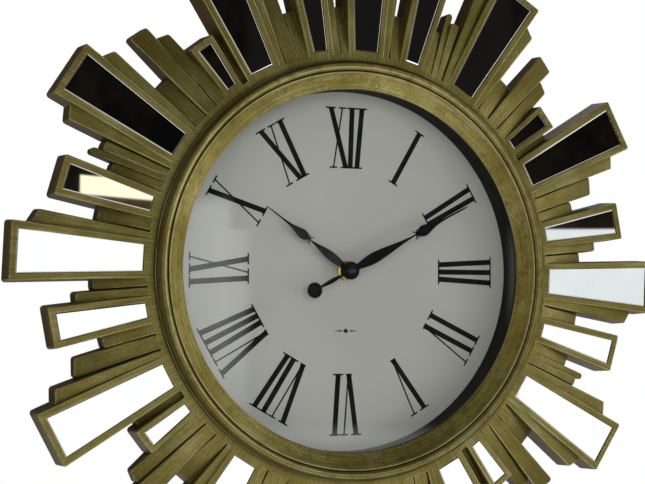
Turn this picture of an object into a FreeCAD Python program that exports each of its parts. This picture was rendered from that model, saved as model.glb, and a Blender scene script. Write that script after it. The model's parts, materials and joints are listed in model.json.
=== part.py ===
import FreeCAD, Part
import math
import os

# Sunburst wall clock, in millimetres: X to the right and Z up as the clock is read, the dial faces -Y.
# Every piece is modelled about the hand axis, with the wall as the plane y = 0, and is moved at the end
# so that the origin is the centre of the hanger's keyhole, on the hanger's rear face.
# "Depth" is the distance behind the front plane, which holds the ray faces and the flat ring.

V = FreeCAD.Vector

FRONT_Y = -44.0          # front plane of the rays
FRAME_DEPTH = 21.0       # front plane to the back edge of the ray walls
SEAT_DEPTH = 23.0        # front plane to the back of the ring walls, where the rear housing bears
DRAFT = 1.1              # how far the ray walls spread over FRAME_DEPTH
WALL = 1.8               # moulded wall thickness
EDGE = 0.6               # bevel round the face of each ray
TIP_ROUND = 1.4          # radius of the ray corners in plan
FRAME_TURN = -2.4        # the sunburst sits turned this many degrees against the dial

RING_R = 155.3           # outer edge of the flat ring
RING_STEP_R = 150.4      # inner edge of the flat ring, round the bezel
CORE_R = 135.0           # bore of the frame for glass, well and dial
CORE_WALL_R = 137.2
BEZEL_SEAT = 1.5         # depth of the bezel's seat
RAY_BASE = 152.0         # rays start inside the ring
RAY_LIFT = 0.3           # small step from the flat ring down to each bar
BAR_BASE_R = 153.6

# Mirror boxes: face length and half-widths, opening length and half-widths
LARGE = dict(base=154.6, end=248.0, w0=13.5, w1=20.1, open0=157.5, open1=243.9, v0=9.35, v1=15.1)
MEDIUM = dict(base=154.6, end=223.9, w0=9.7, w1=14.1, open0=157.7, open1=219.8, v0=5.45, v1=9.5)
SMALL = dict(base=154.6, end=196.0, w0=7.25, w1=9.7, open0=157.7, open1=191.8, v0=3.9, v1=6.0)
LARGE_ANGLES = [0.0, 30.0, 60.0]
MEDIUM_ANGLES = [12.93, 76.5]
SMALL_ANGLES = [39.5]
MIRROR_RECESS = 0.45     # front plane to the mirror face
MIRROR_T = 2.0
MIRROR_BEVEL = 0.8       # width of the ground edge
MIRROR_BEVEL_DROP = 0.22 # how far it falls back
MIRROR_GAP = 0.15

# Plain bars of one quarter: base angles, then (angle, radius) of the two tip corners, start and tip depth
BARS = [
    ((4.2, 7.0), (4.2, 190.2), (7.0, 190.2), 0.3, 9.7),
    ((7.3, 9.9), (7.4, 203.1), (9.9, 203.1), 0.3, 7.4),
    ((16.0, 19.15), (16.0, 189.7), (19.05, 189.7), 0.3, 8.9),
    ((19.4, 23.2), (19.4, 210.5), (22.7, 214.3), 0.3, 12.6),
    ((23.5, 26.0), (23.05, 230.8), (25.7, 234.9), 0.3, 4.9),
    ((34.2, 37.4), (34.2, 190.5), (37.4, 190.5), 3.6, 10.2),
    ((41.8, 45.55), (42.9, 212.3), (45.2, 215.2), 0.3, 12.6),
    ((45.85, 49.4), (45.55, 225.6), (49.0, 227.9), 0.3, 10.5),
    ((49.7, 53.4), (49.3, 190.5), (53.2, 190.5), 0.3, 11.6),
    ((53.65, 56.0), (52.95, 230.1), (55.6, 235.2), 0.3, 4.9),
    ((64.0, 66.5), (64.4, 235.2), (67.1, 230.7), 0.3, 4.7),
    ((66.8, 68.6), (67.3, 201.3), (69.2, 201.0), 0.3, 6.3),
    ((70.2, 73.4), (70.55, 190.1), (73.4, 190.1), 0.3, 9.5),
    ((79.6, 83.1), (79.6, 190.1), (82.9, 190.1), 0.3, 10.0),
    ((83.4, 86.0), (82.95, 230.9), (85.6, 235.9), 0.3, 5.6),
]
ROUND_BAR = dict(angle0=69.3, angle1=69.9, half=2.3, tip=208.0, d0=0.3, d1=10.5)
BAR_CAVITIES = {3: 2.2, 7: 2.2, 8: 2.0, 13: 2.0}   # wide bars that are hollow behind: wall left

# Bezel: (radius, height in front of the front plane)
LIP_R = 130.0
CONE_R, CONE_H = 141.0, 6.2
BEAD_R, BEAD_H = 141.9, 5.3
RIDGE_R, RIDGE_H, RIDGE_BULGE = 145.7, 8.4, 3.3
BEZEL_OUT_R = 150.2

GLASS_R, GLASS_T = 134.6, 2.0
WELL_IN_R, WELL_OUT_R = 130.5, 134.8
DIAL_R, DIAL_T, DIAL_DEPTH, DIAL_HOLE_R = 134.6, 1.0, 22.0, 4.2

# Rear housing
SCREW_N, SCREW_CIRCLE_R, BOSS_R = 8, 145.3, 4.2
SCREW_R, SCREW_HOLE_R, SCREW_HEAD_R = 1.5, 1.65, 3.4
PLATE_Y0, PLATE_Y1 = -21.0, -19.0
PLATE_R, PLATE_OPEN_R = 150.0, 42.0
SKIRT_R, SKIRT_T = 118.5, 2.5
HANGER_Z, HANGER_W, HANGER_H, HANGER_T = 98.0, 58.0, 24.0, 1.2
HANGER_Y1 = -3.0
KEY_R, KEY_SLOT, KEY_RISE = 4.2, 2.1, 8.5
KEY_Z = 94.0
HANGER_SCREW_X = 23.0

# Movement: case outline, levels along Y
CASE_HALF, CASE_R, CASE_WALL = 28.0, 3.0, 1.0
CASE_Y0, CASE_FRONT_IN, CASE_Y1, COVER_Y1 = -20.2, -18.8, -5.0, -4.0
BAY_Z1, BAY_WALL = -12.4, 0.8
MID_Y0, MID_Y1 = -15.2, -14.2
BUSH_R, BUSH_BORE_R, BUSH_Y0 = 4.0, 2.9, -26.4
PIPE_R, PIPE_BORE_R = 2.8, 1.85
ARBOR_R, REAR_ARBOR_R = 1.75, 0.9
PIVOT_R, PIVOT_HOLE_R = 0.45, 0.52
HOUR_HAND_Y, MINUTE_HAND_Y, HAND_T = -28.9, -31.6, 0.5
HOUR_HUB_R, HOUR_COLLAR_R = 6.3, 5.0
MINUTE_HUB_R, MINUTE_COLLAR_R = 6.6, 5.9
MINUTE_ANGLE = 62.7      # clockwise from twelve: about 10 h 10 min 27 s
HOUR_ANGLE = 305.2

# Gears: teeth and module
CANNON_T, MOTION_T, MOTION_MOD = 12, 36, 0.5
MOTION_PINION_T, HOUR_T, HOUR_MOD = 10, 40, 0.48
KNOB_T = 12
CENTRE_T, THIRD_P, CENTRE_MOD = 64, 8, 0.33
THIRD_T, FOURTH_P, THIRD_MOD = 60, 8, 0.30
FOURTH_T, FIFTH_P, FOURTH_MOD = 50, 10, 0.30
FIFTH_T, ROTOR_P, FIFTH_MOD = 48, 8, 0.25


def on_circle(centre, r, angle):
    a = math.radians(angle)
    return (centre[0] + r * math.cos(a), centre[1] + r * math.sin(a))


AXIS = (0.0, 0.0)
MOTION_AT = on_circle(AXIS, (CANNON_T + MOTION_T) * MOTION_MOD / 2, 100.0)
KNOB_AT = on_circle(MOTION_AT, (KNOB_T + MOTION_T) * MOTION_MOD / 2, 200.0)
THIRD_AT = on_circle(AXIS, (CENTRE_T + THIRD_P) * CENTRE_MOD / 2, 20.0)
FOURTH_AT = on_circle(THIRD_AT, (THIRD_T + FOURTH_P) * THIRD_MOD / 2, 100.0)
FIFTH_AT = on_circle(FOURTH_AT, (FOURTH_T + FIFTH_P) * FOURTH_MOD / 2, 190.0)
ROTOR_AT = on_circle(FIFTH_AT, (FIFTH_T + ROTOR_P) * FIFTH_MOD / 2, 190.0)


# ---------------------------------------------------------------- helpers

def polar(angle, r):
    a = math.radians(angle)
    return (r * math.cos(a), r * math.sin(a))


def cyl(r, y0, y1, at=(0.0, 0.0)):
    return Part.makeCylinder(r, y1 - y0, V(at[0], y0, at[1]), V(0, 1, 0))


def tube(r0, r1, y0, y1, at=(0.0, 0.0)):
    return cyl(r1, y0, y1, at).cut(cyl(r0, y0 - 1, y1 + 1, at))


def box(x0, x1, y0, y1, z0, z1):
    return Part.makeBox(x1 - x0, y1 - y0, z1 - z0, V(x0, y0, z0))


def turned(shape, angle):
    out = shape.copy()
    out.rotate(V(0, 0, 0), V(0, -1, 0), angle)
    return out


def turned_points(points, angle):
    c, s = math.cos(math.radians(angle)), math.sin(math.radians(angle))
    return [(x * c - z * s, x * s + z * c) for x, z in points]


def plate(points, y0, y1):
    wire = Part.makePolygon([V(x, y0, z) for x, z in points + points[:1]])
    return Part.Face(wire).extrude(V(0, y1 - y0, 0))


def rounded_box(x0, x1, y0, y1, z0, z1, r):
    solid = box(x0, x1, y0, y1, z0, z1)
    upright = [e for e in solid.Edges if abs(e.tangentAt(e.FirstParameter).y) > 0.9]
    return solid.makeFillet(r, upright)


def offset(points, d):
    """Convex outline, corners counter-clockwise, every edge moved outwards by d."""
    n = len(points)
    lines = []
    for i in range(n):
        (x0, z0), (x1, z1) = points[i], points[(i + 1) % n]
        length = math.hypot(x1 - x0, z1 - z0)
        nx, nz = (z1 - z0) / length, -(x1 - x0) / length
        lines.append((nx, nz, nx * x0 + nz * z0 + d))
    out = []
    for i in range(n):
        a0, b0, c0 = lines[i - 1]
        a1, b1, c1 = lines[i]
        det = a0 * b1 - a1 * b0
        out.append(((c0 * b1 - c1 * b0) / det, (a0 * c1 - a1 * c0) / det))
    return out


def rounded_tips(points, r, corners):
    """Outline with the named corners replaced by short arcs of four points."""
    out = []
    n = len(points)
    for i, p in enumerate(points):
        if i not in corners:
            out.append(p)
            continue
        a, b = points[i - 1], points[(i + 1) % n]
        ua, ub = unit(a, p), unit(b, p)
        half = math.acos(max(-1.0, min(1.0, ua[0] * ub[0] + ua[1] * ub[1]))) / 2
        reach = r / math.tan(half)
        bis = unit((ua[0] + ub[0], ua[1] + ub[1]), (0.0, 0.0))
        centre = (p[0] + bis[0] * r / math.sin(half), p[1] + bis[1] * r / math.sin(half))
        first = (p[0] + ua[0] * reach, p[1] + ua[1] * reach)
        last = (p[0] + ub[0] * reach, p[1] + ub[1] * reach)
        a0 = math.atan2(first[1] - centre[1], first[0] - centre[0])
        sweep = (math.atan2(last[1] - centre[1], last[0] - centre[0]) - a0 + math.pi) % (2 * math.pi) - math.pi
        out += [(centre[0] + r * math.cos(a0 + sweep * k / 3), centre[1] + r * math.sin(a0 + sweep * k / 3))
                for k in range(4)]
    return out


def unit(to, start):
    dx, dz = to[0] - start[0], to[1] - start[1]
    length = math.hypot(dx, dz)
    return (dx / length, dz / length)


def wall_ring(points, frame, inset, sink, back):
    """Corners of the outline moved in by inset, on the sloping face lowered by sink."""
    angle, r0, d0, r1, d1 = frame
    spread = DRAFT / FRAME_DEPTH
    front = offset(points, -inset)
    rear = offset(points, spread * back - inset)
    slope = (d1 - d0) / (r1 - r0)
    c, s = math.cos(math.radians(angle)), math.sin(math.radians(angle))
    ring = []
    for (xa, za), (xb, zb) in zip(front, rear):
        ua, ub = xa * c + za * s, xb * c + zb * s
        t = (d0 + sink + slope * (ua - r0)) / (back - slope * (ub - ua))
        ring.append(V(xa + t * (xb - xa), FRONT_Y + t * back, za + t * (zb - za)))
    return ring, [V(x, FRONT_Y + back, z) for x, z in rear]


def polyhedron(rings):
    """Closed solid from a stack of matching corner rings."""
    faces = [Part.Face(Part.makePolygon(r + r[:1])) for r in (rings[0], rings[-1])]
    for upper, lower in zip(rings[:-1], rings[1:]):
        for i in range(len(upper)):
            j = (i + 1) % len(upper)
            faces.append(Part.Face(Part.makePolygon([upper[i], upper[j], lower[j], lower[i], upper[i]])))
    solid = Part.Solid(Part.Shell(faces))
    if solid.Volume < 0:
        solid.reverse()
    return solid


def drafted(points, angle, r0, d0, r1, d1, inset=0.0, back=FRAME_DEPTH, edge=0.0):
    """Block whose walls spread towards the back, with a face that runs from depth d0 at r0 to d1 at r1."""
    frame = (angle, r0, d0, r1, d1)
    top, bottom = wall_ring(points, frame, inset + edge, 0.0, back)
    if not edge:
        return polyhedron([top, bottom])
    rim, bottom = wall_ring(points, frame, inset, edge, back)
    return polyhedron([top, rim, bottom])


def trapezoid(u0, v0, u1, v1):
    return [(u0, -v0), (u1, -v1), (u1, v1), (u0, v0)]


def along(b, u, key0, key1, at0, at1):
    return b[key0] + (b[key1] - b[key0]) * (u - b[at0]) / (b[at1] - b[at0])


# ---------------------------------------------------------------- sunburst frame

def mirror_box(b):
    start = along(b, RAY_BASE, "w0", "w1", "base", "end")
    pts = rounded_tips(trapezoid(RAY_BASE, start, b["end"], b["w1"]), TIP_ROUND, (1, 2))
    return drafted(pts, 0.0, RAY_BASE, 0.0, b["end"], 0.0, edge=EDGE)


def mirror_pocket(b):
    """The opening down to the ledge the mirror is glued on."""
    pts = trapezoid(b["open0"], b["v0"], b["open1"], b["v1"])
    return plate(pts, FRONT_Y - 1, FRONT_Y + MIRROR_RECESS + MIRROR_T + 0.1)


def box_cavity(b):
    """The hollow behind the ledge, open at the back."""
    start = along(b, RING_R + 1.6, "w0", "w1", "base", "end")
    pts = trapezoid(RING_R + 1.6, start, b["end"], b["w1"])
    depth = MIRROR_RECESS + MIRROR_T + 0.1 + WALL
    return drafted(pts, 0.0, RAY_BASE, depth, b["end"], depth, inset=WALL, back=FRAME_DEPTH + 0.5)


def bar_outline(bar):
    (a0, a1), tip0, tip1, d0, d1 = bar
    return [polar(a0, BAR_BASE_R), polar(*tip0), polar(*tip1), polar(a1, BAR_BASE_R)]


def bar_body(bar):
    (a0, a1), tip0, tip1, d0, d1 = bar
    mid = (tip0[0] + tip1[0]) / 2
    pts = rounded_tips(bar_outline(bar), TIP_ROUND, (1, 2))
    return drafted(pts, mid, BAR_BASE_R, d0, (tip0[1] + tip1[1]) / 2, d1, edge=EDGE)


def bar_cavity(bar, wall):
    (a0, a1), tip0, tip1, d0, d1 = bar
    mid = (tip0[0] + tip1[0]) / 2
    rise = polar(a0, RING_R + 1.6), polar(a1, RING_R + 1.6)
    pts = [rise[0], polar(*tip0), polar(*tip1), rise[1]]
    return drafted(pts, mid, BAR_BASE_R, d0 + WALL, (tip0[1] + tip1[1]) / 2, d1 + WALL,
                   inset=wall, back=FRAME_DEPTH + 0.5)


def round_bar(b):
    """Slim bar with a round end, sloping like its neighbours."""
    p0, p1 = polar(b["angle0"], BAR_BASE_R), polar(b["angle1"], b["tip"] - b["half"])
    ang = math.degrees(math.atan2(p1[1] - p0[1], p1[0] - p0[0]))
    nx, nz = -math.sin(math.radians(ang)), math.cos(math.radians(ang))
    h = b["half"]
    pts = [(p0[0] - nx * h, p0[1] - nz * h), (p1[0] - nx * h, p1[1] - nz * h),
           (p1[0] + nx * h, p1[1] + nz * h), (p0[0] + nx * h, p0[1] + nz * h)]
    y1 = FRONT_Y + FRAME_DEPTH
    body = plate(pts, FRONT_Y, y1).fuse(cyl(h, FRONT_Y, y1, p1))
    drop = math.degrees(math.atan2(b["d1"] - b["d0"], b["tip"] - BAR_BASE_R))
    cutter = Part.makeBox(90, 30, 20, V(0, -30, -10))
    cutter.rotate(V(0, 0, 0), V(0, 0, 1), drop)
    cutter.translate(V(BAR_BASE_R - 5, FRONT_Y + b["d0"] - 5 * math.tan(math.radians(drop)), 0))
    return body.cut(turned(cutter, b["angle1"]))


def ring_body():
    ring = tube(CORE_R, RING_R, FRONT_Y, FRONT_Y + FRAME_DEPTH)
    ring = ring.fuse(tube(CORE_R, CORE_WALL_R, FRONT_Y + 5, FRONT_Y + SEAT_DEPTH))
    ring = ring.cut(cyl(RING_STEP_R, FRONT_Y - 1, FRONT_Y + BEZEL_SEAT))
    return ring.cut(tube(CORE_WALL_R, RING_R - WALL, FRONT_Y + BEZEL_SEAT + 2.5, FRONT_Y + 30))


def screw_points(n, r, first):
    return [polar(first + 360.0 * i / n, r) for i in range(n)]


def ring_bosses():
    parts = []
    for at in screw_points(SCREW_N, SCREW_CIRCLE_R, 22.5):
        parts.append(cyl(BOSS_R, FRONT_Y + 3.5, FRONT_Y + SEAT_DEPTH, at))
    for i in range(24):
        rib = box(CORE_WALL_R - 0.5, RING_R - 1, FRONT_Y + 3.5, FRONT_Y + 15, -0.7, 0.7)
        parts.append(turned(rib, 7.5 + 15.0 * i))
    return parts


def sunburst_frame():
    bodies, cuts = [], []
    for angles, b in ((LARGE_ANGLES, LARGE), (MEDIUM_ANGLES, MEDIUM), (SMALL_ANGLES, SMALL)):
        for a in angles:
            bodies.append(turned(mirror_box(b), a))
            cuts.append(turned(mirror_pocket(b), a))
            cuts.append(turned(box_cavity(b), a))
    for bar in BARS:
        bodies.append(bar_body(bar))
    bodies.append(round_bar(ROUND_BAR))
    for index, wall in BAR_CAVITIES.items():
        cuts.append(bar_cavity(BARS[index], wall))
    all_bodies, all_cuts = [], []
    for q in range(4):
        all_bodies += [turned(s, 90.0 * q) for s in bodies]
        all_cuts += [turned(s, 90.0 * q) for s in cuts]
    rays = all_bodies[0].fuse(all_bodies[1:])
    rays = rays.cut(cyl(RING_R - 1.0, FRONT_Y - 5, FRONT_Y + 30))
    frame = ring_body().fuse([rays] + ring_bosses())
    for at in screw_points(SCREW_N, SCREW_CIRCLE_R, 22.5):
        all_cuts.append(cyl(1.25, FRONT_Y + 8, FRONT_Y + 30, at))
    frame = frame.cut(all_cuts).removeSplitter()
    return turned(frame, FRAME_TURN)


def mirror(b):
    """Mirror glass with a ground bevel round its face."""
    pts = offset(trapezoid(b["open0"], b["v0"], b["open1"], b["v1"]), -MIRROR_GAP)
    inner = offset(pts, -MIRROR_BEVEL)
    y0 = FRONT_Y + MIRROR_RECESS
    low, mid, top = y0 + MIRROR_T, y0 + MIRROR_BEVEL_DROP, y0
    levels = [(pts, low), (pts, mid), (inner, top)]
    return polyhedron([[V(x, y, z) for x, z in p] for p, y in levels])


def mirrors():
    out = {}
    for name, angles, b in (("large", LARGE_ANGLES, LARGE), ("medium", MEDIUM_ANGLES, MEDIUM),
                            ("small", SMALL_ANGLES, SMALL)):
        number = 1
        for q in range(4):
            for a in angles:
                out["mirror_%s_%02d" % (name, number)] = turned(mirror(b), a + 90.0 * q + FRAME_TURN)
                number += 1
    return out


# ---------------------------------------------------------------- bezel, glass, well, dial, housing

def revolved(points):
    """Solid of revolution about the hand axis from (radius, y) corners and 3-point arcs."""
    edges = []
    start = V(points[0][0], points[0][1], 0)
    previous = start
    for p in points[1:] + [points[0]]:
        end = V(p[0], p[1], 0)
        if len(p) == 4:
            edges.append(Part.Arc(previous, V(p[2], p[3], 0), end).toShape())
        else:
            edges.append(Part.makeLine(previous, end))
        previous = end
    face = Part.Face(Part.Wire(edges))
    return face.revolve(V(0, 0, 0), V(0, 1, 0), 360)


def bezel_ring():
    y = FRONT_Y
    back = FRONT_Y + BEZEL_SEAT
    foot_in, foot_out = RIDGE_R - RIDGE_BULGE, RIDGE_R + RIDGE_BULGE
    profile = [
        (LIP_R, y + 0.2),
        (CONE_R, y - CONE_H),
        (BEAD_R + 0.2, y - CONE_H + 0.6, CONE_R + 0.85, y - CONE_H - 0.1),
        (foot_in + 0.1, y - BEAD_H),
        (foot_out, y - 2.4, RIDGE_R - 0.2, y - RIDGE_H),
        (foot_out + 0.2, y - 1.7),
        (BEZEL_OUT_R, y - 1.5, 149.7, y - 2.5),
        (BEZEL_OUT_R, back),
        (147.6, back),
        (147.6, y - 1.0),
        (CONE_R + 1.0, y - CONE_H + 3.0),
        (134.2, y + 0.3),
        (134.2, back),
        (LIP_R, back),
    ]
    return revolved(profile)


def well_ring():
    y0 = FRONT_Y + BEZEL_SEAT + GLASS_T
    y1 = FRONT_Y + DIAL_DEPTH
    ring = tube(WELL_IN_R, WELL_OUT_R, y0, y0 + 1.6)
    ring = ring.fuse(tube(WELL_IN_R, WELL_IN_R + 1.6, y0, y1))
    ring = ring.fuse(tube(WELL_IN_R, WELL_OUT_R, y1 - 1.6, y1))
    ribs = [turned(box(WELL_IN_R + 1, WELL_OUT_R - 0.2, y0 + 1, y1 - 1, -0.6, 0.6), 30.0 * i) for i in range(12)]
    return ring.fuse(ribs).removeSplitter()


def rear_housing():
    body = tube(PLATE_OPEN_R, PLATE_R, PLATE_Y0, PLATE_Y1)
    body = body.fuse(tube(SKIRT_R - SKIRT_T, SKIRT_R, PLATE_Y1 - 0.5, 0.0))
    parts = [tube(PLATE_OPEN_R, PLATE_OPEN_R + 2.0, PLATE_Y1 - 0.5, -12.0)]
    for i in range(12):
        rib = box(PLATE_OPEN_R + 1, SKIRT_R - 1, PLATE_Y1 - 0.5, -13.0, -0.9, 0.9)
        parts.append(turned(rib, 15.0 + 30.0 * i))
    for i in range(24):
        fin = box(SKIRT_R - 1, PLATE_R - 14.0, PLATE_Y1 - 0.5, -14.0, -0.8, 0.8)
        parts.append(turned(fin, 7.5 + 15.0 * i))
    for x in (-HANGER_SCREW_X, HANGER_SCREW_X):
        parts.append(cyl(5.0, PLATE_Y1 - 0.5, HANGER_Y1 - HANGER_T, (x, HANGER_Z)))
    body = body.fuse(parts)
    for x in (-HANGER_SCREW_X, HANGER_SCREW_X):
        body = body.cut(cyl(1.25, -14.0, 0.0, (x, HANGER_Z)))
    for at in turned_points(screw_points(SCREW_N, SCREW_CIRCLE_R, 22.5), FRAME_TURN):
        body = body.cut(cyl(SCREW_HOLE_R, PLATE_Y0 - 1, PLATE_Y1 + 1, at))
    return body.removeSplitter()


def hanger_plate():
    y0, y1 = HANGER_Y1 - HANGER_T, HANGER_Y1
    strip = rounded_box(-HANGER_W / 2, HANGER_W / 2, y0, y1, HANGER_Z - HANGER_H / 2, HANGER_Z + HANGER_H / 2, 4.0)
    strip = strip.cut(cyl(KEY_R, y0 - 1, y1 + 1, (0, KEY_Z)))
    strip = strip.cut(box(-KEY_SLOT, KEY_SLOT, y0 - 1, y1 + 1, KEY_Z, KEY_Z + KEY_RISE))
    strip = strip.cut(cyl(KEY_SLOT, y0 - 1, y1 + 1, (0, KEY_Z + KEY_RISE)))
    for x in (-HANGER_SCREW_X, HANGER_SCREW_X):
        strip = strip.cut(cyl(SCREW_HOLE_R, y0 - 1, y1 + 1, (x, HANGER_Z)))
    return strip


def pan_screw(at, seat_y, length, shank_r):
    """Self-tapping screw driven forwards: the head bears on seat_y, the shank runs to -Y."""
    head = cyl(SCREW_HEAD_R, seat_y, seat_y + 0.8, at)
    dome = Part.makeCone(SCREW_HEAD_R, 2.1, 1.1, V(at[0], seat_y + 0.8, at[1]), V(0, 1, 0))
    shank = cyl(shank_r, seat_y - length, seat_y + 0.1, at)
    slot = box(at[0] - 0.45, at[0] + 0.45, seat_y + 0.9, seat_y + 3, at[1] - 1.9, at[1] + 1.9)
    cross = box(at[0] - 1.9, at[0] + 1.9, seat_y + 0.9, seat_y + 3, at[1] - 0.45, at[1] + 0.45)
    return head.fuse([dome, shank]).cut([slot, cross])


def housing_screws():
    points = turned_points(screw_points(SCREW_N, SCREW_CIRCLE_R, 22.5), FRAME_TURN)
    return Part.makeCompound([pan_screw(p, PLATE_Y1, 12.0, 1.24) for p in points])


def hanger_screws():
    return Part.makeCompound([pan_screw((x, HANGER_Z), HANGER_Y1, 9.0, 1.24)
                              for x in (-HANGER_SCREW_X, HANGER_SCREW_X)])


# ---------------------------------------------------------------- movement

def gear_points(teeth, module, at, phase, slim):
    """Trapezoid teeth with backlash; slim teeth for pinions. Tooth 0 points along phase."""
    r = teeth * module / 2
    tip, root = (0.70, 1.20) if slim else (0.75, 1.05)
    w_root, w_tip = (0.23, 0.09) if slim else (0.27, 0.10)
    pitch = 360.0 / teeth
    points = []
    for i in range(teeth):
        a = phase + i * pitch
        for w, rr in ((-w_root, r - root * module), (-w_tip, r + tip * module),
                      (w_tip, r + tip * module), (w_root, r - root * module)):
            points.append(on_circle(at, rr, a + w * pitch))
    return points


def gear(teeth, module, at, phase, y0, y1, slim=False):
    return plate(gear_points(teeth, module, at, phase, slim), y0, y1)


def meshed(at0, teeth0, phase0, at1, teeth1):
    """Phase of the second gear whose gap meets the first gear's tooth on the line of centres."""
    line = math.degrees(math.atan2(at1[1] - at0[1], at1[0] - at0[0]))
    share = ((line - phase0) * teeth0 / 360.0) % 1.0
    return line + 180.0 - (0.5 - share) * 360.0 / teeth1


def spoked(solid, at, hub_r, rim_r, y0, y1, n, half):
    """Cut windows between spokes."""
    window = tube(hub_r, rim_r, y0 - 1, y1 + 1, at)
    for i in range(n):
        spoke = box(0, rim_r + 2, y0 - 2, y1 + 2, -half, half)
        spoke = turned(spoke, 360.0 * i / n)
        spoke.translate(V(at[0], 0, at[1]))
        window = window.cut(spoke)
    return solid.cut(window)


CANNON_PHASE = 0.0
MOTION_PHASE = meshed(AXIS, CANNON_T, CANNON_PHASE, MOTION_AT, MOTION_T)
KNOB_PHASE = meshed(MOTION_AT, MOTION_T, MOTION_PHASE, KNOB_AT, KNOB_T)
HOUR_PHASE = 0.0
MOTION_PINION_PHASE = meshed(AXIS, HOUR_T, HOUR_PHASE, MOTION_AT, MOTION_PINION_T)
CENTRE_PHASE = 0.0
THIRD_PINION_PHASE = meshed(AXIS, CENTRE_T, CENTRE_PHASE, THIRD_AT, THIRD_P)
THIRD_PHASE = 0.0
FOURTH_PINION_PHASE = meshed(THIRD_AT, THIRD_T, THIRD_PHASE, FOURTH_AT, FOURTH_P)
FOURTH_PHASE = 0.0
FIFTH_PINION_PHASE = meshed(FOURTH_AT, FOURTH_T, FOURTH_PHASE, FIFTH_AT, FIFTH_P)
FIFTH_PHASE = 0.0
ROTOR_PINION_PHASE = meshed(FIFTH_AT, FIFTH_T, FIFTH_PHASE, ROTOR_AT, ROTOR_P)


def arbor(at, y0, y1, body_r):
    """Steel arbor with a pivot in the middle plate and one in the cover."""
    mid = cyl(body_r, y0, y1, at)
    return mid.fuse([cyl(PIVOT_R, MID_Y0 + 0.1, y0 + 0.1, at), cyl(PIVOT_R, y1 - 0.1, COVER_Y1 - 0.1, at)])


def cannon_arbor():
    """Minute arbor: front shaft for the hand, pinion, and rear shaft through the centre wheel."""
    front = cyl(ARBOR_R, -31.6, -16.6)
    thread = cyl(1.4, -34.0, -31.5)
    pinion = gear(CANNON_T, MOTION_MOD, AXIS, CANNON_PHASE, -16.7, -15.6, slim=True)
    rear = cyl(REAR_ARBOR_R, -15.7, COVER_Y1 - 0.1)
    return front.fuse([thread, pinion, rear])


def hour_wheel():
    wheel = gear(HOUR_T, HOUR_MOD, AXIS, HOUR_PHASE, -18.0, -17.0)
    wheel = spoked(wheel, AXIS, 4.2, 7.6, -18.0, -17.0, 5, 0.8)
    pipe = cyl(PIPE_R, -29.4, -17.5)
    return wheel.fuse(pipe).cut(cyl(PIPE_BORE_R, -40, 0))


def motion_wheel():
    wheel = gear(MOTION_T, MOTION_MOD, MOTION_AT, MOTION_PHASE, -16.65, -15.65)
    wheel = spoked(wheel, MOTION_AT, 3.4, 6.9, -16.65, -15.65, 4, 0.8)
    pinion = gear(MOTION_PINION_T, HOUR_MOD, MOTION_AT, MOTION_PINION_PHASE, -18.1, -16.6, slim=True)
    return wheel.fuse(pinion).cut(cyl(0.87, -30, 0, MOTION_AT))


def setting_knob():
    pinion = gear(KNOB_T, MOTION_MOD, KNOB_AT, KNOB_PHASE, -16.65, -15.65, slim=True)
    shaft = cyl(1.2, -15.75, -3.0, KNOB_AT)
    tip = cyl(0.8, -18.2, -16.5, KNOB_AT)
    knob = cyl(5.6, -3.5, -1.2, KNOB_AT)
    flutes = [cyl(0.7, -4, 0, on_circle(KNOB_AT, 5.9, 20.0 * i)) for i in range(18)]
    return pinion.fuse([shaft, tip, knob.cut(flutes)])


def centre_wheel():
    wheel = gear(CENTRE_T, CENTRE_MOD, AXIS, CENTRE_PHASE, -13.7, -12.9)
    wheel = spoked(wheel, AXIS, 3.2, 8.6, -13.7, -12.9, 4, 0.9)
    return wheel.fuse(cyl(2.2, -13.75, -12.2)).cut(cyl(REAR_ARBOR_R + 0.05, -30, 0))


def third_wheel():
    shaft = arbor(THIRD_AT, -14.0, -5.6, 0.8)
    pinion = gear(THIRD_P, CENTRE_MOD, THIRD_AT, THIRD_PINION_PHASE, -14.0, -12.5, slim=True)
    wheel = gear(THIRD_T, THIRD_MOD, THIRD_AT, THIRD_PHASE, -12.1, -11.3)
    wheel = spoked(wheel, THIRD_AT, 2.2, 7.4, -12.1, -11.3, 4, 0.7)
    return wheel.fuse([shaft, pinion])


def fourth_wheel():
    shaft = arbor(FOURTH_AT, -14.0, -5.6, 0.7)
    pinion = gear(FOURTH_P, THIRD_MOD, FOURTH_AT, FOURTH_PINION_PHASE, -12.4, -11.0, slim=True)
    wheel = gear(FOURTH_T, FOURTH_MOD, FOURTH_AT, FOURTH_PHASE, -10.6, -9.9)
    wheel = spoked(wheel, FOURTH_AT, 2.0, 6.0, -10.6, -9.9, 4, 0.6)
    return wheel.fuse([shaft, pinion])


def fifth_wheel():
    shaft = arbor(FIFTH_AT, -14.0, -5.6, 0.8)
    pinion = gear(FIFTH_P, FOURTH_MOD, FIFTH_AT, FIFTH_PINION_PHASE, -10.9, -9.6, slim=True)
    wheel = gear(FIFTH_T, FIFTH_MOD, FIFTH_AT, FIFTH_PHASE, -9.4, -8.8)
    wheel = spoked(wheel, FIFTH_AT, 1.8, 4.7, -9.4, -8.8, 4, 0.5)
    return wheel.fuse([shaft, pinion])


def rotor():
    shaft = arbor(ROTOR_AT, -14.0, -5.6, 0.6)
    pinion = gear(ROTOR_P, FIFTH_MOD, ROTOR_AT, ROTOR_PINION_PHASE, -9.6, -8.3, slim=True)
    return shaft.fuse([pinion, cyl(2.0, -8.1, -6.7, ROTOR_AT)])


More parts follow.
